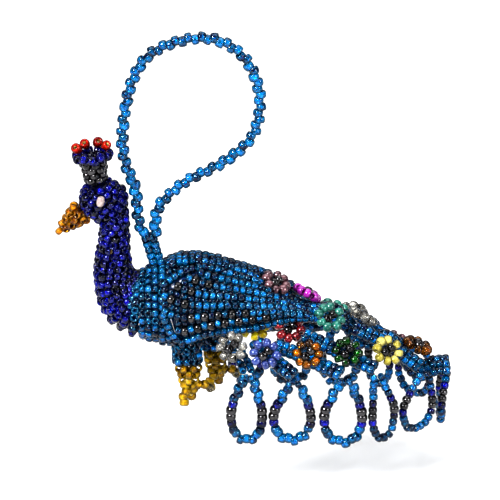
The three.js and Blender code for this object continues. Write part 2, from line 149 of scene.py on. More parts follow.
FRINGE = [
    {"top": (10.0, -20, 25.4), "front": (5.9, -20), "back": (13.4, -20), "low": 7.2},
    {"top": (21.6, -20, 23.6), "front": (16.5, -20), "back": (25.5, -20), "low": 7.2},
    {"top": (34.2, -20, 24.4), "front": (29.1, -20), "back": (38.2, -20), "low": 6.6},
    {"top": (42.0, -18.8, 25.2), "front": (41.0, -19.8), "back": (46.3, -17.0), "low": 6.9},
    {"top": (54.0, -9.6, 22.2), "front": (48.8, -15.2), "back": (56.2, -8.4), "low": 7.2},
]
FRINGE_END = {"top": (60.4, 0, 20.6), "front": (58.8, -5.6), "back": (58.8, 5.6), "low": 5.2}
# The four darker beads on each side of a loop, the height that they start at, and their pitch.
BAND = ["cobalt", "hematite", "hematite", "cobalt"]
BAND_TOP = 17.9
END_BAND_TOP = 16.4
BAND_PITCH = 1.68
RIBS = [
    [(6.4, -9.6, 31.4), (7.6, -12.4, 28.8), (9.2, -15.8, 26.8), (9.9, -19, 26.2)],
    [(12, -10.6, 31), (14.2, -13.4, 28.6), (18, -16.8, 27), (21.3, -19.2, 25.2)],
    [(16.8, -12.6, 30.4), (22, -13.6, 28.9), (28, -16.4, 27), (33.2, -19, 25.6)],
    [(23.8, -12.2, 33.4), (30.4, -13.2, 30.4), (36.6, -14.6, 27.6), (41.6, -17.4, 26.4)],
    [(36.4, -6, 33), (41.6, -7, 30.8), (48.2, -7.2, 26.6), (53.2, -8.8, 23.4)],
]
RIB_SAG = 2.6  # how much lower the middle of a rib hangs on the right side
# The strands of the ridge: y, and how far each lies below the middle one.
RIDGE_STRANDS = [(-3.7, 1.6), (-1.9, 0.5), (0, 0), (1.9, 0.5), (3.7, 1.6)]
RIDGE = [
    (13.2, 42.6), (17.0, 40.5), (24.8, 36.4), (32.0, 35.8), (38.8, 29.0), (45.8, 28.4),
    (52.8, 20.3), (57.4, 21.8), (60.6, 21.9),
]
# Flowers: name, centre, direction that they face, turn of the two centre beads, kind of bead.
FLOWERS = [
    ("flower_left_crystal", (6.0, -18.4, 32.5), (-0.1, -0.85, 0.5), -50, "crystal"),
    ("flower_left_periwinkle", (14.3, -18.6, 30.7), (0.1, -0.85, 0.5), -40, "periwinkle"),
    ("flower_left_amber", (24.8, -18.0, 30.5), (0.1, -0.85, 0.5), -40, "topaz"),
    ("flower_left_green", (34.6, -16.6, 30.5), (0.1, -0.8, 0.6), -35, "green"),
    ("flower_left_lemon", (44.8, -12.6, 29.3), (0.25, -0.75, 0.6), -40, "lemon"),
    ("flower_left_yellow", (11.6, -7.3, 33.9), (0, -1, 0.1), -40, "yellow"),
    ("flower_left_red", (20.5, -8.6, 33.6), (0.2, -0.7, 0.7), -40, "red"),
    ("flower_left_teal", (30.4, -7.4, 36.2), (0.3, -0.7, 0.65), -40, "teal"),
    ("flower_top_mauve", (17.0, -2.2, 43.5), (0.4, -0.3, 0.85), -30, "mauve"),
    ("flower_top_magenta", (24.9, 2.6, 38.9), (0.45, 0.3, 0.84), 0, "magenta"),
    ("flower_top_crystal", (39.0, 1.2, 33.0), (0.45, 0.25, 0.86), 0, "crystal"),
    ("flower_top_topaz", (52.8, 0, 25.8), (0.4, 0.0, 0.92), 0, "topaz"),
    ("flower_right_yellow", (5.4, 17.0, 30.6), (-0.1, 0.85, 0.5), 50, "yellow"),
    ("flower_right_green", (14.6, 18.2, 28.2), (0.1, 0.85, 0.5), 40, "green"),
    ("flower_right_red", (25.6, 18.2, 28.0), (0.1, 0.85, 0.5), 40, "red"),
    ("flower_right_crystal", (36.8, 17.0, 28.5), (0.1, 0.8, 0.6), 35, "crystal"),
    ("flower_right_mauve", (46.8, 12.4, 22.4), (0.25, 0.75, 0.6), 40, "mauve"),
    ("flower_right_teal", (32.0, 9.4, 32.2), (0.3, 0.7, 0.65), 40, "teal"),
]
LOOP_ROUTE = [
    (-16.1, 55.2), (-17.4, 59.6), (-17.7, 65.2), (-18.5, 69.2), (-20.2, 73.6), (-21.0, 78.0),
    (-21.0, 83.3), (-20.0, 90.0), (-18.6, 95.4), (-15.4, 101.2), (-10.6, 104.6), (-5.2, 106.3),
    (0.0, 106.65), (4.4, 105.4), (8.2, 102.6), (11.2, 98.2), (12.8, 92.6), (12.8, 87.4),
    (11.2, 81.6), (7.4, 77.2), (1.6, 73.2), (-4.4, 70.2), (-9.2, 66.4), (-12.6, 62.0),
    (-13.2, 55.4),
]
LOOP_PITCH = 1.6
FLOOR_GAP = 0.011  # metres: the hung bird clears the floor even when its tail droops

# The material slot of each kind of bead in the flowers.
SLOTS = {
    "crystal": "crystal_glass",
    "periwinkle": "periwinkle_lustre",
    "topaz": "amber_glass",
    "green": "green_glass",
    "lemon": "lemon_glass",
    "yellow": "yellow_opaque",
    "red": "red_lustre",
    "teal": "teal_opaque",
    "mauve": "mauve_lustre",
    "magenta": "magenta_opaque",
}


# ---------------------------------------------------------------- materials


def new_material(name):
    material = bpy.data.materials.new(name)
    material.use_nodes = True
    return material, material.node_tree, material.node_tree.nodes["Principled BSDF"]


def colour_mix(tree, factor, first, second):
    """A colour between two others, chosen by the factor socket."""
    mix = tree.nodes.new("ShaderNodeMix")
    mix.data_type = "RGBA"
    mix.inputs[6].default_value = (*first, 1)
    mix.inputs[7].default_value = (*second, 1)
    tree.links.new(factor, mix.inputs[0])
    return mix.outputs[2]


def number_map(tree, value, low, high, end="To"):
    """A value from 0 to 1 mapped to the range from low to high, or from that range if end is From."""
    node = tree.nodes.new("ShaderNodeMapRange")
    node.inputs[f"{end} Min"].default_value = low
    node.inputs[f"{end} Max"].default_value = high
    tree.links.new(value, node.inputs["Value"])
    return node.outputs[0]


def noise(tree, scale, detail=2.0):
    place = tree.nodes.new("ShaderNodeTexCoord")
    node = tree.nodes.new("ShaderNodeTexNoise")
    node.inputs["Scale"].default_value = scale
    node.inputs["Detail"].default_value = detail
    tree.links.new(place.outputs["Object"], node.inputs["Vector"])
    return node.outputs["Fac"]


def tone(tree):
    """Each bead's own shade, from 0 to 1, which is stored on its mesh."""
    node = tree.nodes.new("ShaderNodeAttribute")
    node.attribute_name = "tone"
    return node.outputs["Fac"]


def blended(tree, first, second, share):
    """First plus share of (second - 0.5), kept from 0 to 1."""
    node = tree.nodes.new("ShaderNodeMath")
    node.operation = "MULTIPLY_ADD"
    node.use_clamp = True
    node.inputs[1].default_value = share
    tree.links.new(second, node.inputs[0])
    shifted = tree.nodes.new("ShaderNodeMath")
    shifted.operation = "SUBTRACT"
    shifted.inputs[1].default_value = 0.5 * share
    tree.links.new(first, shifted.inputs[0])
    tree.links.new(shifted.outputs[0], node.inputs[2])
    return node.outputs[0]


def painted_outline_shade(tree, body, edge):
    """Painted shade: the colour of clear glass, darker towards the bead's outline, where light would cross
    more of it.
    """
    facing = tree.nodes.new("ShaderNodeLayerWeight")
    facing.inputs["Blend"].default_value = 0.74
    mix = tree.nodes.new("ShaderNodeMix")
    mix.data_type = "RGBA"
    mix.blend_type = "MULTIPLY"
    mix.inputs[7].default_value = (edge, edge, edge, 1)
    tree.links.new(facing.outputs["Facing"], mix.inputs[0])
    tree.links.new(body, mix.inputs[6])
    return mix.outputs[2]


def bead_material(
    name, deep, bright, roughness, transmission=0.0, metallic=0.0, coat=0.0, edge=None, gloss=0.4
):
    """Glass or coated glass whose shade changes at random from bead to bead, with painted light and shade
    within each bead for refraction, and painted shade towards the outline of clear glass.
    """
    material, tree, shader = new_material(name)
    grain = noise(tree, 900)
    # Painted light and shade: high-contrast patches within each bead, standing in for refraction in the
    # glass.
    painted_refraction_patches = number_map(tree, noise(tree, 1300, 1.0), 0.36, 0.64, "From")
    shade = blended(tree, tone(tree), painted_refraction_patches, 0.9)
    body = colour_mix(tree, shade, deep, bright)
    # Painted shade: on clear glass the colour darkens towards the outline.
    if edge is not None:
        body = painted_outline_shade(tree, body, edge)
    tree.links.new(body, shader.inputs["Base Color"])
    fine = noise(tree, 2600, 3.0)
    tree.links.new(number_map(tree, fine, 0.6 * roughness, 1.5 * roughness), shader.inputs["Roughness"])
    shader.inputs["Transmission Weight"].default_value = transmission
    shader.inputs["Metallic"].default_value = metallic
    shader.inputs["IOR"].default_value = GLASS_IOR
    shader.inputs["Specular IOR Level"].default_value = gloss
    shader.inputs["Coat Weight"].default_value = coat
    shader.inputs["Coat Roughness"].default_value = 0.05
    relief = tree.nodes.new("ShaderNodeBump")
    relief.inputs["Strength"].default_value = 0.25
    relief.inputs["Distance"].default_value = 0.00008
    tree.links.new(grain, relief.inputs["Height"])
    tree.links.new(relief.outputs["Normal"], shader.inputs["Normal"])
    return material


# Clear beads: deep shade, bright shade, transmission, how much of the colour is left at the outline under
# the painted outline shade.
GLASS = {
    "capri": ((0.0, 0.012, 0.09), (0.0, 0.50, 1.0), 0.76, 0.02),
    "cobalt": ((0.0, 0.0, 0.025), (0.0, 0.008, 0.72), 0.78, 0.02),
    "amber": ((0.30, 0.08, 0.0), (1.0, 0.48, 0.0), 0.62, 0.10),
    "topaz": ((0.04, 0.01, 0.0), (0.80, 0.30, 0.0), 0.76, 0.03),
    "gold": ((0.42, 0.22, 0.0), (1.0, 0.70, 0.01), 0.60, 0.18),
    "crest": ((0.36, 0.002, 0.0), (0.86, 0.03, 0.0), 0.50, 0.10),
    "crystal": ((0.52, 0.49, 0.42), (0.96, 0.94, 0.90), 0.86, 0.45),
    "green": ((0.0, 0.012, 0.002), (0.004, 0.25, 0.01), 0.76, 0.04),
    "lemon": ((0.42, 0.36, 0.06), (0.75, 0.68, 0.24), 0.25, 0.45),
    "smoky": ((0.16, 0.12, 0.05), (0.50, 0.42, 0.22), 0.85, 0.20),
}
# Opaque and metallic beads: deep shade, bright shade, metallic, roughness, coat.
OPAQUE = {
    "hematite": ((0.006, 0.006, 0.008), (0.07, 0.066, 0.07), 1.0, 0.13, 0.8),
    "pearl": ((0.26, 0.20, 0.19), (0.40, 0.33, 0.315), 0.0, 0.22, 0.7),
    "periwinkle": ((0.015, 0.03, 0.15), (0.042, 0.075, 0.27), 0.15, 0.14, 1.0),
    "yellow": ((0.33, 0.24, 0.0), (0.62, 0.52, 0.005), 0.0, 0.20, 0.8),
    "red": ((0.10, 0.002, 0.007), (0.36, 0.014, 0.022), 0.35, 0.16, 1.0),
    "teal": ((0.01, 0.10, 0.08), (0.03, 0.23, 0.175), 0.0, 0.20, 0.7),
    "mauve": ((0.065, 0.025, 0.036), (0.18, 0.085, 0.10), 0.30, 0.14, 1.0),
    "magenta": ((0.19, 0.006, 0.19), (0.48, 0.035, 0.45), 0.10, 0.16, 1.0),
}
# Linings of the holes: deep shade, bright shade.
LININGS = {
    "silver": ((0.02, 0.02, 0.02), (0.80, 0.80, 0.78)),
    "capri_lining": ((0.0, 0.004, 0.03), (0.06, 0.52, 0.95)),
    "cobalt_lining": ((0.0, 0.0, 0.02), (0.05, 0.08, 0.90)),
    "green_lining": ((0.0, 0.01, 0.0), (0.05, 0.45, 0.06)),
    "gilt": ((0.10, 0.03, 0.0), (0.95, 0.52, 0.05)),
    "straw": ((0.35, 0.18, 0.0), (1.0, 0.80, 0.12)),
    "cream": ((0.55, 0.38, 0.12), (0.98, 0.90, 0.60)),
}
GLASS_ROUGHNESS = 0.05
GLASS_GLOSS = 0.11
GLASS_IOR = 1.52
FOIL_ROUGHNESS = 0.2


def make_materials():
    made = {}
    for kind, (deep, bright, clear, edge) in GLASS.items():
        made[kind] = bead_material(
            f"{kind}_glass", deep, bright, GLASS_ROUGHNESS, transmission=clear, edge=edge, gloss=GLASS_GLOSS
        )
    for kind, (deep, bright, metallic, roughness, coat) in OPAQUE.items():
        made[kind] = bead_material(f"{kind}_bead", deep, bright, roughness, metallic=metallic, coat=coat)
    for kind, (deep, bright) in LININGS.items():
        made[kind] = bead_material(f"{kind}_foil", deep, bright, FOIL_ROUGHNESS, metallic=0.9)
    # Skins behind the beads carry painted shade: near black with dim painted glints, darker still under the
    # head and neck.
    made["weave"] = painted_shade_weave_material("weave_interior_painted_shade", (0.0, 0.002, 0.012), (0.0, 0.035, 0.15))
    made["darker_shaded_weave"] = painted_shade_weave_material("weave_interior_darker_painted_shade", (0.0, 0.0, 0.006), (0.0, 0.002, 0.06))
    made["thread"] = thread_material()
    return made


def painted_shade_weave_material(name, gap, painted_glint):
    """Painted shade for the beads and thread deeper in the weave, seen between the outer ones: a sheet
    coloured near black, with painted glints at the middle of each cell.
    """
    material, tree, shader = new_material(name)
    place = tree.nodes.new("ShaderNodeTexCoord")
    cells = tree.nodes.new("ShaderNodeTexVoronoi")
    cells.inputs["Scale"].default_value = 620
    tree.links.new(place.outputs["Object"], cells.inputs["Vector"])
    tree.links.new(colour_mix(tree, cells.outputs["Distance"], painted_glint, gap), shader.inputs["Base Color"])
    relief = tree.nodes.new("ShaderNodeBump")
    relief.invert = True
    relief.inputs["Strength"].default_value = 0.8
    relief.inputs["Distance"].default_value = 0.0006
    tree.links.new(cells.outputs["Distance"], relief.inputs["Height"])
    tree.links.new(relief.outputs["Normal"], shader.inputs["Normal"])
    rough = noise(tree, 1500)
    tree.links.new(number_map(tree, rough, 0.12, 0.35), shader.inputs["Roughness"])
    return material


def thread_material():
    """Clear nylon thread, a little milky."""
    material, tree, shader = new_material("nylon_thread")
    grain = noise(tree, 3000)
    milky = colour_mix(tree, grain, (0.62, 0.66, 0.70), (0.92, 0.94, 0.96))
    tree.links.new(milky, shader.inputs["Base Color"])
    tree.links.new(number_map(tree, grain, 0.15, 0.35), shader.inputs["Roughness"])
    shader.inputs["Transmission Weight"].default_value = 0.4
    return material


# ---------------------------------------------------------------- beads


def ring_template(diameter, length, hole, squareness, square_hole=True):
    """A bead about the Z axis, with a hole of that radius: its points, quads, and which quads line it."""
    around = 16
    outer = 0.5 * diameter
    middle = 0.5 * (outer + hole)
    half = 0.5 * (outer - hole)
    steps = 12
    points = []
    for i in range(steps):
        angle = 2 * math.pi * (i + 0.5) / steps
        c, s = math.cos(angle), math.sin(angle)
        out = math.copysign(abs(c) ** (2 / squareness), c)
        rise = math.copysign(abs(s) ** (2 / squareness), s)
        for k in range(around):
            turn = 2 * math.pi * k / around
            radius = middle + half * out
            if square_hole and c < -0.3:
                radius *= 0.88 / max(abs(math.cos(turn)), abs(math.sin(turn)))
            points.append((radius * math.cos(turn), radius * math.sin(turn), 0.5 * length * rise))
    faces = []
    inner = []
    for i in range(steps):
        j = (i + 1) % steps
        lines_hole = math.cos(2 * math.pi * (i + 1) / steps) < -0.6
        for k in range(around):
            n = (k + 1) % around
            faces.append((i * around + k, i * around + n, j * around + n, j * around + k))
            inner.append(lines_hole)
    return np.array(points), np.array(faces), np.array(inner)


TEMPLATES = {
    "seed": ring_template(BEAD, BEAD_LENGTH, 0.40, 2.25),
    "plain": ring_template(BEAD, BEAD_LENGTH, 0.40, 2.3, square_hole=False),
    "donut": ring_template(2.2, 1.55, 0.30, 2.05, square_hole=False),
    "round": ring_template(2.5, 2.3, 0.24, 2.05, square_hole=False),
    "oval": ring_template(1.9, 2.35, 0.12, 2.0, square_hole=False),
}
# Kinds of bead: outer glass, lining of the hole, shape.
KINDS = {
    "capri": ("capri", "capri_lining", "seed"),
    "cobalt": ("cobalt", "cobalt_lining", "seed"),
    "cobalt_cream": ("cobalt", "cream", "seed"),
    "amber": ("amber", "gilt", "seed"),
    "topaz": ("topaz", "gilt", "seed"),
    "gold": ("gold", "straw", "seed"),
    "crest": ("crest", "cream", "round"),
    "crystal": ("crystal", "silver", "seed"),
    "green": ("green", "green_lining", "seed"),
    "smoky": ("smoky", "silver", "round"),
    "lemon": ("lemon", "lemon", "plain"),
    **{kind: (kind, kind, "donut") for kind in OPAQUE},
    "pearl": ("pearl", "pearl", "oval"),
}

chance = random.Random(20)


def tilted(direction, degrees):
    """The direction, leaned at random by up to that many degrees."""
    side = direction.orthogonal().normalized()
    side.rotate(Matrix.Rotation(chance.uniform(0, 2 * math.pi), 3, direction))
    leaned = direction.copy()
    leaned.rotate(Matrix.Rotation(math.radians(chance.uniform(0, degrees)), 3, side))
    return leaned


class Beadwork:
    """Beads, skins and thread that become one mesh."""

    def __init__(self):
        self.points = []
        self.faces = []
        self.slots = []
        self.tones = []
        self.materials = []
        self.count = 0

    def slot(self, material):
        if material not in self.materials:
            self.materials.append(material)
        return self.materials.index(material)

    def mesh(self, points, faces, slots, shade):
        self.faces.append(np.asarray(faces) + self.count)
        self.points.append(np.asarray(points))
        self.slots.append(np.asarray(slots))
        self.tones.append(np.full(len(points), shade))
        self.count += len(points)

    def bead(self, kind, centre, hole, size=1.0, shade=None):
        """One bead, with its hole along the direction given."""
        outside, lining, shape = KINDS[kind]
        points, faces, inner = TEMPLATES[shape]
        turn = hole.to_track_quat("Z", "Y").to_matrix()
        spin = Matrix.Rotation(chance.uniform(0, 2 * math.pi), 3, "Z")
        scale = FULLNESS * size * chance.uniform(0.95, 1.05)
        stretch = np.array([scale, scale, scale * chance.uniform(0.9, 1.08)])
        placed = (points * stretch) @ np.array(turn @ spin).T + np.array(centre)
        slots = np.where(inner, self.slot(lining), self.slot(outside))
        self.mesh(placed, faces, slots, chance.random() if shade is None else shade)

    def thread(self, points, radius=0.12):
        """A length of nylon thread through the points."""
        sides = 6
        route = Route(points)
        steps = max(2, int(route.length / 0.8))
        placed = []
        for i in range(steps + 1):
            place, along = route.at(route.length * i / steps)
            across = along.orthogonal().normalized()
            other = along.cross(across)
            for k in range(sides):
                turn = 2 * math.pi * k / sides
                placed.append(place + radius * (math.cos(turn) * across + math.sin(turn) * other))
        faces = []
        for i in range(steps):
            for k in range(sides):
                n = (k + 1) % sides
                faces.append((i * sides + k, i * sides + n, (i + 1) * sides + n, (i + 1) * sides + k))
        self.mesh(placed, faces, [self.slot("thread")] * len(faces), 0.5)

    def skin(self, surface, rows, columns, material, outer, inner, wraps=True):
        """A closed skin between two depths of a surface, behind the beads, carrying the painted shade seen
        between them.
        """
        placed = []
        for depth in (outer, inner):
            for i in range(rows + 1):
                for k in range(columns + (0 if wraps else 1)):
                    placed.append(surface(i / rows, k / columns, depth))
        wide = columns if wraps else columns + 1
        sheet = (rows + 1) * wide
        faces = []
        for i in range(rows):
            for k in range(columns):
                n = (k + 1) % wide
                a, b, c, d = i * wide + k, i * wide + n, (i + 1) * wide + n, (i + 1) * wide + k
                faces.append((a, b, c, d))
                faces.append((sheet + d, sheet + c, sheet + b, sheet + a))
        last = rows * wide
        for k in range(columns):
            n = (k + 1) % wide
            faces.append((sheet + k, sheet + n, n, k))
            faces.append((last + k, last + n, sheet + last + n, sheet + last + k))
        if not wraps:
            for i in range(rows):
                a, b = i * wide, (i + 1) * wide
                faces.append((a, b, sheet + b, sheet + a))
                a, b = a + columns, b + columns
                faces.append((sheet + a, sheet + b, b, a))
        self.mesh(placed, faces, [self.slot(material)] * len(faces), 0.5)

    def build(self, name, body, slot, *nodes):
        """The finished object, riding on its body in place of the CAD nodes."""
        points = np.concatenate(self.points)
        points[:, 2] -= HANG_HEIGHT
        points *= MM
        faces = np.concatenate(self.faces)
        mesh = bpy.data.meshes.new(name)
        mesh.vertices.add(len(points))
        mesh.vertices.foreach_set("co", points.astype(np.float32).ravel())
        mesh.loops.add(faces.size)
        mesh.loops.foreach_set("vertex_index", faces.astype(np.int32).ravel())
        mesh.polygons.add(len(faces))
        mesh.polygons.foreach_set("loop_start", np.arange(0, faces.size, 4, dtype=np.int32))
        mesh.polygons.foreach_set("material_index", np.concatenate(self.slots).astype(np.int32))
        mesh.polygons.foreach_set("use_smooth", np.ones(len(faces), bool))
        mesh.update(calc_edges=True)
        shade = mesh.attributes.new("tone", "FLOAT", "POINT")
        shade.data.foreach_set("value", np.concatenate(self.tones).astype(np.float32))
        for key in self.materials:
            mesh.materials.append(MATERIALS[key])
        piece = bpy.data.objects.new(name, mesh)
        bpy.context.scene.collection.objects.link(piece)
        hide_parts(*nodes)
        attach(piece, body)
        return piece


# ---------------------------------------------------------------- curves and surfaces


class Route:
    """A smooth curve through points, measured along its length."""

    def __init__(self, points):
        knots = [Vector(p) for p in points]
        knots = [2 * knots[0] - knots[1], *knots, 2 * knots[-1] - knots[-2]]
        self.places = []
        for i in range(1, len(knots) - 2):
            self.places += self.stretch(knots[i - 1:i + 3])
        self.places.append(knots[-2])
        self.marks = [0.0]
        for a, b in zip(self.places, self.places[1:]):
            self.marks.append(self.marks[-1] + (b - a).length)
        self.length = self.marks[-1]

    @staticmethod
    def stretch(four, steps=16):
        """Points on the centripetal curve between the middle two of four knots."""
        a, b, c, d = four
        first = max((b - a).length, 1e-4) ** 0.5
        middle = max((c - b).length, 1e-4) ** 0.5
        last = max((d - c).length, 1e-4) ** 0.5
        leave = ((b - a) / first - (c - a) / (first + middle) + (c - b) / middle) * middle
        arrive = ((c - b) / middle - (d - b) / (middle + last) + (d - c) / last) * middle
        found = []
        for k in range(steps):
            t = k / steps
            cubic = (2 * b - 2 * c + leave + arrive) * t ** 3
            found.append(cubic + (-3 * b + 3 * c - 2 * leave - arrive) * t * t + leave * t + b)
        return found

    def at(self, distance):
        """The place and direction that far along."""
        i = int(np.searchsorted(self.marks, distance)) - 1
        i = min(max(i, 0), len(self.places) - 2)
        a, b = self.places[i], self.places[i + 1]
        share = (distance - self.marks[i]) / max(self.marks[i + 1] - self.marks[i], 1e-6)
        return a.lerp(b, share), (b - a).normalized()


def station_at(stations, t):
    place = t * (len(stations) - 1)
    i = min(int(place), len(stations) - 2)
    f = place - i
    picked = [stations[min(max(k, 0), len(stations) - 1)] for k in (i - 1, i, i + 1, i + 2)]
    values = []
    for a, b, c, d in zip(*picked):
        bend = 2 * a - 5 * b + 4 * c - d
        twist = 3 * (b - c) + d - a
        values.append(b + 0.5 * f * (c - a + f * (bend + f * twist)))
    return values


def on_station(stations, t, angle, inset):
    """A point on a station's ellipse: angle 0 is up, or back on the neck, and 90 degrees is left."""
    x, z, half_width, half_height, lean = station_at(stations, t)
    tilt = math.radians(lean)
    across = (half_width - inset) * math.sin(angle)
    along = (half_height - inset) * math.cos(angle)
    return Vector((x + along * math.sin(tilt), -across, z + along * math.cos(tilt)))


def tube_surface(stations):
    return lambda t, turn, inset: on_station(stations, t, 2 * math.pi * turn, inset)


def on_wing(side, u, v, inset, grain=None):
    """A point on a wing, and whether it is inside the wing's edges.

    u runs back from the front edge, and v down from the upper edge or over the grain's angles.
    """
    reach = (UPPER_REACH + (1 - UPPER_REACH) * v) * u
    x, z, half_width, half_height, upper, lower = station_at(WING_STATIONS, reach)
    first, last = station_at(grain, reach) if grain else (upper, lower)
    degrees = first + (last - first) * v
    angle = math.radians(degrees)
    across = (half_width - inset) * math.sin(angle)
    point = Vector((x, side * across, z + (half_height - inset) * math.cos(angle)))
    return point, upper + 3 < degrees < lower - 1


def directions(surface, t, turn, inset):
    """The place on a surface, and its directions along, around and out."""
    step = 0.01
    place = surface(t, turn, inset)
    t0, t1 = max(t - step, 0), min(t + step, 1)
    along = (surface(t1, turn, inset) - surface(t0, turn, inset)).normalized()
    around = (surface(t, turn + step, inset) - surface(t, turn - step, inset)).normalized()
    out = (surface(t, turn, 0) - surface(t, turn, 1)).normalized()
    return place, along, around, out


def even_shares(line, pitch, shift, least=1):
    """Shares from 0 to 1 of the way along a line of points that are about a pitch apart on it."""
    marks = np.concatenate([[0], np.cumsum([(b - a).length for a, b in zip(line, line[1:])])])
    count = max(least, round(marks[-1] / pitch))
    wanted = (np.arange(count) + shift) * marks[-1] / count
    return np.interp(wanted % marks[-1], marks, np.linspace(0, 1, len(line)))


def even_turns(surface, t, inset, pitch, shift):
    """Turns round a closed ring of the surface that are the same distance apart."""
    return even_shares([surface(t, k / 96, inset) for k in range(97)], pitch, shift, least=3)


def spread_steps(surface, pitch):
    """Values of t whose rings are about a pitch apart along the side of the surface."""
    return even_shares([surface(k / 60, 0.25, 1.0) for k in range(61)], pitch, 0.5)


# ---------------------------------------------------------------- the bird


def all_capri(_place):
    return "capri"


def strand_of(work, kind_at, route, start, end, sway, across, lean=14, size=1.0):
    """Beads strung from start to end along a route, stepping from side to side."""
    count = max(1, round((end - start) / PITCH))
    for i in range(count):
        distance = start + (i + 0.5) * (end - start) / count
        place, along = route.at(distance)
        side = sway * (1 if i % 2 else -1)
        wobble = Vector((chance.uniform(-1, 1), chance.uniform(-1, 1), chance.uniform(-1, 1))) * 0.1
        work.bead(kind_at(place), place + side * across + wobble, tilted(along, lean), size)


def lattice(work, surface, kind_at, skip, face_share, row, pitch):
    """Rings of beads over a tube, each ring half a bead on from the last."""
    for i, t in enumerate(spread_steps(surface, row)):
        for turn in even_turns(surface, t, 0.5 * BEAD, pitch, 0.5 * (i % 2)):
            place, along, around, out = directions(surface, t, turn, 0.5 * BEAD)
            if skip(place, turn):
                continue
            lift = out * chance.uniform(-0.25, 0.2)
            if chance.random() < face_share:
                hole = tilted(out, 34)
            else:
                hole = tilted(around if chance.random() < 0.6 else along, 18)
            work.bead(kind_at(place), place + lift, hole, chance.uniform(0.96, 1.06))


def crest_point(radius, height, angle):
    place = Vector((radius * math.cos(angle), radius * math.sin(angle), height))
    place.rotate(Matrix.Rotation(CREST_TILT, 3, "Y"))
    return place + CREST_BASE


def cobalt_or_cream(_place):
    return "cobalt_cream" if chance.random() < 0.07 else "cobalt"


def breast_kind(place):
    heights, fronts = zip(*BREAST_BORDER)
    border = np.interp(place.z, heights, fronts)
    return "capri" if place.x > border + chance.uniform(-0.5, 0.5) else cobalt_or_cream(place)


def head_point(lean, turn, inset):
    """A point on the head: lean 0 is the crown and 1 the throat."""
    angle = math.pi * lean
    out = math.sin(angle)
    around = 2 * math.pi * turn
    direction = Vector((out * math.cos(around), out * math.sin(around), math.cos(angle)))
    return HEAD_CENTRE + direction * (HEAD_RADII - Vector((inset, inset, inset)))


def make_head():
    work = Beadwork()
    inner = 0.5 * BEAD
    radius = sum(HEAD_RADII) / 3 - inner
    spacing = 1.85
    count = round(4 * math.pi * radius * radius / (spacing * spacing))
    golden = math.pi * (3 - math.sqrt(5))
    for i in range(count):
        height = 1 - 2 * (i + 0.5) / count
        flat = math.sqrt(1 - height * height)
        out = Vector((flat * math.cos(golden * i), flat * math.sin(golden * i), height))
        place = HEAD_CENTRE + out * (HEAD_RADII - Vector((inner, inner, inner)))
        if near_fittings(place, out):
            continue
        side = tilted(out.orthogonal().normalized(), 60)
        side = (side - out * side.dot(out)).normalized()
        side.rotate(Matrix.Rotation(chance.uniform(0, 2 * math.pi), 3, out))
        hole = tilted(out, 30) if chance.random() < 0.25 else side
        work.bead(cobalt_or_cream(place), place + out * chance.uniform(-0.3, 0.15), hole)
    work.skin(head_point, 12, 20, "darker_shaded_weave", 1.5, 2.2)
    work.build("head_beads", "bird", "cobalt_glass", "head_shell")


def near_fittings(place, out):
    """Whether a head bead would lie under the crest, the beak or an eye, or inside the neck."""
    neck_x, neck_z = NECK_STATIONS[0][:2]
    to_eye = Vector((place.x, abs(place.y), place.z)) - EYE
    if (place - CREST_BASE).length < CREST_ROOM or out.dot(BEAK_AIM) > BEAK_ROOM:
        return True
    if to_eye.length < EYE_ROOM:
        return True
    return place.z < neck_z - 1.4 and Vector((place.x - neck_x, place.y)).length < NECK_ROOM


def make_eyes():
    for name, side in (("left", -1), ("right", 1)):
        work = Beadwork()
        centre = Vector((EYE.x, side * (EYE.y - 0.25), EYE.z))
        work.bead("pearl", centre, Vector((0.22, 0, 1)).normalized(), 1.0, 0.7)
        work.build(f"eye_{name}_bead", "bird", "pearl_white", f"eye_{name}")


def make_beak():
    work = Beadwork()
    across = BEAK_AIM.cross(RIGHT).normalized()
    for i, (distance, radius, count) in enumerate(BEAK_RINGS):
        for k in range(count):
            turn = 2 * math.pi * (k + 0.5 * (i % 2)) / count
            out = math.cos(turn) * across + math.sin(turn) * RIGHT
            hole = tilted(out, 30) if chance.random() < 0.5 else tilted(out.cross(BEAK_AIM), 25)
            work.bead("amber", BEAK_START + BEAK_AIM * distance + out * radius, hole, 1.0)
    work.bead("amber", BEAK_START + BEAK_AIM * (BEAK_LENGTH - 1.0), across, 0.95, 0.9)
    work.build("beak_beads", "bird", "amber_glass", "beak")


def make_crest():
    make_crest_collar()
    rim_height = COLLAR_HEIGHT + 0.3 + 0.5 * BEAD
    make_crest_rim(rim_height)
    bead_height = rim_height + 0.5 * (BEAD + CREST_BEAD) - 0.35
    for i, degrees in enumerate(CREST_ANGLES):
        angle = math.radians(degrees)
        top = Beadwork()
        facing = Vector((0.5 * math.cos(angle), -0.8, 0.75))
        top.bead("crest", crest_point(CREST_RADIUS - 0.4, bead_height, angle), facing.normalized(), 0.98)
        top.build(f"crest_top_bead_{i + 1}", "bird", "crest_red", f"crest_bead_{i + 1}")


def make_crest_collar():
    collar = Beadwork()
    upright = crest_point(0, 1, 0) - crest_point(0, 0, 0)
    for row, (height, radius, count) in enumerate(COLLAR_RINGS):
        for k in range(count):
            angle = 2 * math.pi * (k + 0.5 * (row % 2)) / count
            collar.bead("hematite", crest_point(radius, height, angle), tilted(upright, 16))
    collar.build("crest_collar_beads", "bird", "hematite", "crest_collar")


def make_crest_rim(rim_height):
    rim = Beadwork()
    for count, radius, drop in RIM_RINGS:
        for k in range(count):
            angle = 2 * math.pi * (k + 0.25) / count
            out = (crest_point(1, 0, angle) - crest_point(0, 0, angle)).normalized()
            height = rim_height - drop + 0.35 * (k % 2)
            hole = tilted(UP if k % 2 else out.cross(UP), 22)
            kind = "cobalt_cream" if k % 4 == 0 else "cobalt"
            rim.bead(kind, crest_point(radius, height, angle), hole, 1.08)
    rim.build("crest_rim_beads", "bird", "cobalt_glass", "crest_rim")


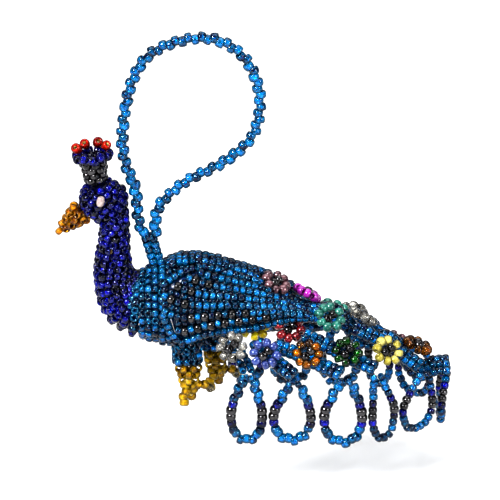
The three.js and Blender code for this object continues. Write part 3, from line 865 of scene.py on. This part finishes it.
def make_neck():
    work = Beadwork()
    surface = tube_surface(NECK_STATIONS)

    def inside_head(place, _turn):
        offset = place - HEAD_CENTRE
        scaled = Vector((offset.x / HEAD_RADII.x, offset.y / HEAD_RADII.y, offset.z / HEAD_RADII.z))
        return scaled.length < 0.86

    lattice(work, surface, breast_kind, inside_head, face_share=0.3, row=1.62, pitch=1.95)
    work.skin(surface, 24, 24, "darker_shaded_weave", 1.45, 2.2)
    work.build("neck_beads", "bird", "cobalt_glass", "neck_shell")


def make_body():
    work = Beadwork()
    surface = tube_surface(BODY_STATIONS)

    def under_wing(place, turn):
        degrees = 360 * min(turn, 1 - turn)
        return place.x > -8.5 and 44 < degrees < 116

    lattice(work, surface, all_capri, under_wing, face_share=0.42, row=1.7, pitch=2.0)
    for y, drop in BACK_STRANDS:
        back = Route([(x, y, z - drop) for x, z in BACK_LINE])
        strand_of(work, all_capri, back, 0, back.length, 0.3, RIGHT, lean=24, size=1.04)
    work.skin(surface, 20, 28, "weave", 1.45, 2.2)
    work.build("body_beads", "bird", "capri_glass", "body_shell")


def wing_rows():
    """Rows along a wing from its lower edge up: a share of the way down it, and whether it lies deep."""
    rows = []
    gaps = WING_ROWS - 1
    for row in range(WING_ROWS):
        down = LOWEST_ROW - ROW_REACH * row / gaps
        if row:
            rows.append((row, down, False))
        if row < gaps:
            rows.append((row, down - 0.5 * ROW_REACH / gaps, True))
    return rows


def make_wing(name, side):
    work = Beadwork()

    def surface(u, v, inset):
        return on_wing(side, u, v, inset)[0]

    def on_row(u, v, inset):
        return on_wing(side, u, v, inset, WING_GRAIN)

    for row, v, deep in wing_rows():
        inset = DEEP_ROW_DEPTH if deep else ROW_DEPTH
        route = Route([on_row(k / 24, v, inset)[0] for k in range(25)])
        count = int(route.length / 1.7)
        for i in range(count):
            place, ahead = route.at((i + 0.5) * route.length / count)
            u = (i + 0.5) / count
            inner, on_it = on_row(u, v, inset + 1)
            if not on_it:
                continue
            out = (on_row(u, v, inset)[0] - inner).normalized()
            if not deep and is_hematite(row, place.x, i):
                work.bead("hematite", place + 0.3 * out, tilted(ahead, 14), 1.08)
                continue
            size = 0.9 if deep else 1.0
            # Painted shade: beads of the deep rows take only the darkest tones, for the shade between the
            # raised rows.
            shade = 0.12 * chance.random() if deep else chance.random()
            work.bead("capri", place + out * chance.uniform(-0.1, 0.12), tilted(ahead, 10), size, shade)
    for v in (0.0, 0.975):
        edge = Route([surface(k / 24, v, ROW_DEPTH) for k in range(25)])
        strand_of(work, all_capri, edge, 0, edge.length, 0.1, RIGHT, lean=16)
    work.skin(surface, 24, 14, "weave", 1.6, 2.0, wraps=False)
    work.thread([surface(0.10 + 0.02 * k, 0.66 + 0.11 * k, 0.6) for k in range(3)], 0.06)
    work.build(f"wing_{name}_beads", "bird", "capri_glass", f"wing_{name}")


def is_hematite(row, x, i):
    """Hematite beads take every second place along part of some rows."""
    if row not in HEMATITE_ROWS or (i + row) % 2:
        return False
    first, last = HEMATITE_ROWS[row]
    return first < x < last


def make_legs():
    for name, side, x in LEGS:
        y = side * LEG_SPREAD
        leg = Beadwork()
        for row in range(LEG_RINGS):
            z = ANKLE + 0.9 + PITCH * row
            ring_of_beads(leg, Vector((x, y, z)), *LEG_RADII, row, "capri")
        leg.build(f"leg_{name}_beads", f"leg_{name}", "capri_glass", f"leg_{name}")
        make_foot(name, Vector((x + 0.4, y, 0)))


def make_foot(name, heel):
    foot = Beadwork()
    for row, (z, wide, deep) in enumerate(FOOT_RINGS):
        ring_of_beads(foot, heel + Vector((0, 0, z)), wide, deep, row, "gold")
    for i, (back, right, up) in enumerate(TOE_ENDS):
        start = heel + Vector((0.3 * back, 0.3 * right, TOE_ROOT))
        end = heel + Vector((back, right, TOE_ROOT + up))
        route = Route([start, end])
        has_claw = i == len(TOE_ENDS) - 1
        last = route.length - (1.1 if has_claw else 0)
        across = (end - start).cross(RIGHT).normalized()
        strand_of(foot, lambda _place: "gold", route, 0, last, 0.34, across, lean=25, size=1.12)
        if has_claw:
            foot.bead("smoky", end - (end - start).normalized() * 0.3, RIGHT, 0.86)
    foot.build(f"foot_{name}_beads", f"leg_{name}", "gold_glass", f"foot_{name}")


def ring_of_beads(work, centre, wide, deep, row, kind):
    """One level oval ring of beads, with the holes mostly along the ring."""
    around = math.pi * (wide + deep)
    count = max(4, round(around / 1.95))
    for k in range(count):
        turn = 2 * math.pi * (k + 0.5 * (row % 2)) / count
        out = Vector((wide * math.cos(turn), deep * math.sin(turn), 0))
        along = Vector((-wide * math.sin(turn), deep * math.cos(turn), 0)).normalized()
        hole = tilted(along, 22) if chance.random() < 0.7 else tilted(out.normalized(), 30)
        work.bead(kind, centre + out + UP * chance.uniform(-0.15, 0.15), hole, 1.05)


def make_ridge():
    work = Beadwork()
    route = Route([(x, 0, z) for x, z in RIDGE])
    count = round(route.length / PITCH)
    for y, drop in RIDGE_STRANDS:
        stagger = 0.6 if y else 0.2
        for i in range(count):
            place, along = route.at((i + stagger) * route.length / count)
            work.bead("capri", place + Vector((0, y, -drop)), tilted(along, 16), 1.06)
    work.build("tail_ridge_beads", "tail", "capri_glass", "tail_ridge")


def make_ribs():
    for side_name, side in (("left", 1), ("right", -1)):
        for i, knots in enumerate(RIBS):
            work = Beadwork()
            sag = RIB_SAG if side < 0 else 0
            ends = (0, len(knots) - 1)
            route = Route(
                [(x, side * y, z - (0 if k in ends else sag)) for k, (x, y, z) in enumerate(knots)]
            )
            size = 0.88 if i == 0 else 1.06  # the first rib passes close under the wing
            count = round(route.length / PITCH)
            for column in (-0.98, 0.98):
                for k in range(count):
                    place, along = route.at((k + 0.5) * route.length / count)
                    across = along.cross(Vector((0, -side * 0.5, 1))).normalized()
                    work.bead("capri", place + across * column, tilted(along, 10), size)
            node = f"tail_rib_{side_name}_{i + 1}"
            work.build(f"{node}_beads", "tail", "capri_glass", node)


def make_flowers():
    for name, centre, facing, turn_degrees, kind in FLOWERS:
        work = Beadwork()
        out = Vector(facing).normalized()
        turned = UP.rotation_difference(out).to_matrix()
        for k in range(FLOWER_BEADS):
            angle = 2 * math.pi * (k + chance.uniform(-0.12, 0.12)) / FLOWER_BEADS
            spoke = turned @ Vector((math.cos(angle), math.sin(angle), 0))
            place = Vector(centre) + spoke * (FLOWER_RADIUS + chance.uniform(-0.1, 0.15))
            hole = tilted(spoke.cross(out), 28)
            work.bead(kind, place + out * chance.uniform(-0.2, 0.2), hole, 1.1)
        turn = math.radians(turn_degrees + 90)
        line = turned @ Vector((math.cos(turn), math.sin(turn), 0))
        for side in (-1, 1):
            hole = tilted((out + 0.9 * line).normalized(), 30)
            work.bead("hematite", Vector(centre) + line * side * 1.0 + out * 0.5, hole, 1.02)
        work.thread([Vector(centre) + line * k * 2.6 - out * 0.7 for k in (-1, 0, 1)])
        work.build(f"{name}_beads", "tail", SLOTS[kind], name)


def fringe_route(top, front, back, low):
    """The route of a hanging loop, down its front side and up its back, and the direction across it."""
    start = Vector(top)
    ends = [Vector((x, y, 0)) for x, y in (front, back)]
    middle = ends[0].lerp(ends[1], 0.5)
    half = 0.5 * (ends[1] - ends[0]).length
    across = (ends[1] - ends[0]).normalized()
    bottom = low + 1.15
    rise = start.z - bottom
    parting = 0.85

    def point(side, z, pull):
        place = start.lerp(middle, pull) + across * side
        place.z = z
        return place

    def down(side):
        return [
            point(side * parting, start.z + 0.2, 0),
            point(side * max(0.62 * half, 1.2 * parting), bottom + 0.76 * rise, 0.45),
            point(side * half, bottom + 0.48 * rise, 1),
            point(side * half, bottom + 0.28 * rise, 1),
            point(side * 0.66 * half, bottom + 0.07 * rise, 1),
        ]

    route = Route([*down(-1), point(0, bottom, 1), *down(1)[::-1]])
    return route, across


def make_fringe_loop(name, body, loop, size, sway, band_top=BAND_TOP):
    """A loop of capri beads with a band of darker ones halfway down each side."""
    work = Beadwork()
    route, across = fringe_route(**loop)
    marks = np.linspace(0, 0.5 * route.length, 200)
    depths = [-route.at(mark)[0].z for mark in marks]
    first = float(np.interp(-band_top, depths, marks))
    upper = first - 0.9
    for from_back in (False, True):
        def at(distance):
            return route.at(route.length - distance if from_back else distance)

        for k, kind in enumerate(BAND):
            place, along = at(first + BAND_PITCH * k)
            work.bead(kind, place, tilted(along, 14), size + 0.04 if kind == "hematite" else size)
        count = round(upper / PITCH)
        for k in range(count):
            place, along = at((k + 0.5) * upper / count)
            shift = across * (sway if k % 2 else -sway)
            work.bead("capri", place + shift, tilted(along, 14), size if k else 0.8)
    start = first + BAND_PITCH * len(BAND) - 0.5 * BAND_PITCH
    strand_of(work, all_capri, route, start, route.length - start, sway, UP, lean=24, size=size)
    work.build(f"{name}_beads", body, "capri_glass", name)


def mirrored_loop(loop):
    mirrored = dict(loop)
    for key in ("top", "front", "back"):
        x, y, *height = loop[key]
        mirrored[key] = (x, -y, *height)
    return mirrored


def make_fringe():
    for i, loop in enumerate(FRINGE):
        corner = "_corner" if i == 4 else ""
        size, sway = (1.14, 0.28) if i < 3 else (0.96, 0.08)  # the last two on each side hang close
        make_fringe_loop(f"fringe_left_{i + 1}", f"fringe_left{corner}", loop, size, sway)
        make_fringe_loop(f"fringe_right_{i + 1}", f"fringe_right{corner}", mirrored_loop(loop), size, sway)
    make_fringe_loop("fringe_end", "fringe_end", FRINGE_END, 1.0, 0.1, END_BAND_TOP)


def make_hanger():
    """The hanging loop and the double stem that joins it to the back."""
    loop = Beadwork()
    route = Route([(x, 0, z) for x, z in LOOP_ROUTE])
    count = round(route.length / LOOP_PITCH)
    for k in range(count):
        place, along = route.at((k + 0.5) * route.length / count)
        across = along.cross(RIGHT)
        sway = across * (0.34 if k % 2 else -0.34) + RIGHT * chance.uniform(-0.15, 0.15)
        loop.bead("capri", place + sway, tilted(along, 20), 1.2, chance.uniform(0.25, 1))
    piece = loop.build("hang_loop_beads", "loop", "capri_glass", "hang_loop")

    stem = Beadwork()
    rise = STEM_TOP - STEM_FOOT
    line = Route([STEM_FOOT - 0.25 * rise, STEM_TOP, STEM_TOP + 0.22 * rise])
    count = round(line.length / PITCH)
    for column in (-0.95, 0.95):
        for k in range(count):
            place, along = line.at((k + 0.5 + 0.2 * column) * line.length / count)
            across = along.cross(RIGHT)
            stem.bead("capri", place + across * column, tilted(along, 18), 1.0)
    stem.bead("capri", LOOP_PIVOT, tilted(rise, 8), 1.15)
    stem_piece = stem.build("hang_stem_beads", "stem", "capri_glass", "hang_stem")
    path = [in_frame(place) for place in route.places[::4]] + [in_frame(route.places[-1])]
    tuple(path[0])


def in_frame(place):
    """A point in the row frame, in metres."""
    return (place.x * MM, place.y * MM, (place.z - HANG_HEIGHT) * MM)


# ---------------------------------------------------------------- the studio, in metres

LENS = 300
CAMERA_TARGET = Vector((0.0105, 0, -0.05415))
CAMERA_LIFT = 20
PICTURE_WIDTH = 0.125
LIT_CENTRE = Vector((0.01, 0, -0.06))
# Soft lights: name, place, size, power.
LIGHTS = [
    ("key", (-0.45, -0.55, 0.45), (0.34, 0.26), 15),
    ("fill", (0.6, -0.5, 0.2), (0.3, 0.3), 4),
    ("top", (0.0, 0.1, 0.75), (0.9, 0.9), 7.5),
]
WORLD_COLOUR = (0.95, 0.97, 1.0, 1)
WORLD_STRENGTH = 0.32
GAMMA = 0.75
FLOOR_REACH = 2.5
FLOOR_GLOW = 0.3


def make_camera():
    """A long lens, 20 degrees above level, looking at the bird's left side."""
    data = bpy.data.cameras.new("camera")
    data.lens = LENS
    data.clip_end = 10
    camera = bpy.data.objects.new("camera", data)
    distance = PICTURE_WIDTH * LENS / data.sensor_width
    lift = math.radians(CAMERA_LIFT)
    camera.location = CAMERA_TARGET + distance * Vector((0, -math.cos(lift), math.sin(lift)))
    camera.rotation_euler = (math.radians(90) - lift, 0, 0)
    bpy.context.scene.collection.objects.link(camera)
    bpy.context.scene.camera = camera


def area_light(name, place, size, power):
    data = bpy.data.lights.new(name, "AREA")
    data.shape = "RECTANGLE"
    data.size, data.size_y = size
    data.energy = power
    light = bpy.data.objects.new(name, data)
    light.location = place
    aim = LIT_CENTRE - Vector(place)
    light.rotation_euler = aim.to_track_quat("-Z", "Y").to_euler()
    bpy.context.scene.collection.objects.link(light)


def make_studio():
    scene = bpy.context.scene
    world = bpy.data.worlds.new("studio")
    world.use_nodes = True
    background = world.node_tree.nodes["Background"]
    background.inputs["Color"].default_value = WORLD_COLOUR
    background.inputs["Strength"].default_value = WORLD_STRENGTH
    scene.world = world
    for light in LIGHTS:
        area_light(*light)
    scene.view_settings.view_transform = "Standard"
    scene.view_settings.gamma = GAMMA
    make_floor()


def make_floor():
    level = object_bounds()[0][2] - FLOOR_GAP
    mesh = bpy.data.meshes.new("floor")
    corners = [(-1, -1), (1, -1), (1, 1), (-1, 1)]
    mesh.from_pydata([(x * FLOOR_REACH, y * FLOOR_REACH, level) for x, y in corners], [], [(0, 1, 2, 3)])
    floor = bpy.data.objects.new("floor", mesh)
    bpy.context.scene.collection.objects.link(floor)
    material, tree, shader = new_material("pale_floor")
    pale = colour_mix(tree, noise(tree, 60), (0.60, 0.60, 0.60), (0.64, 0.64, 0.64))
    tree.links.new(pale, shader.inputs["Base Color"])
    shader.inputs["Roughness"].default_value = 0.8
    shader.inputs["Emission Color"].default_value = (1, 1, 1, 1)
    shader.inputs["Emission Strength"].default_value = FLOOR_GLOW
    mesh.materials.append(material)
    floor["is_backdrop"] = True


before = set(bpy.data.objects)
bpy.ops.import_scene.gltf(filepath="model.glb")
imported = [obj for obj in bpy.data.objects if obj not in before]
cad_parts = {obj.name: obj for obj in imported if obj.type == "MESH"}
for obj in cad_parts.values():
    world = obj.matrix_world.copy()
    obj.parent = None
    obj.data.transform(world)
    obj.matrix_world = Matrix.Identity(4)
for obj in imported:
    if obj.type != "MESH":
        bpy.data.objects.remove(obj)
cad_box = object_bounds()
MATERIALS = make_materials()
make_camera()
make_hanger()
make_studio()
make_head()
make_eyes()
make_beak()
make_crest()
make_neck()
make_body()
make_wing("left", -1)
make_wing("right", 1)
make_legs()
make_ridge()
make_ribs()
make_flowers()
make_fringe()

boxes = {"cad": cad_box, "visual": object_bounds()}
{key: [list(corner) for corner in box] for key, box in boxes.items()}
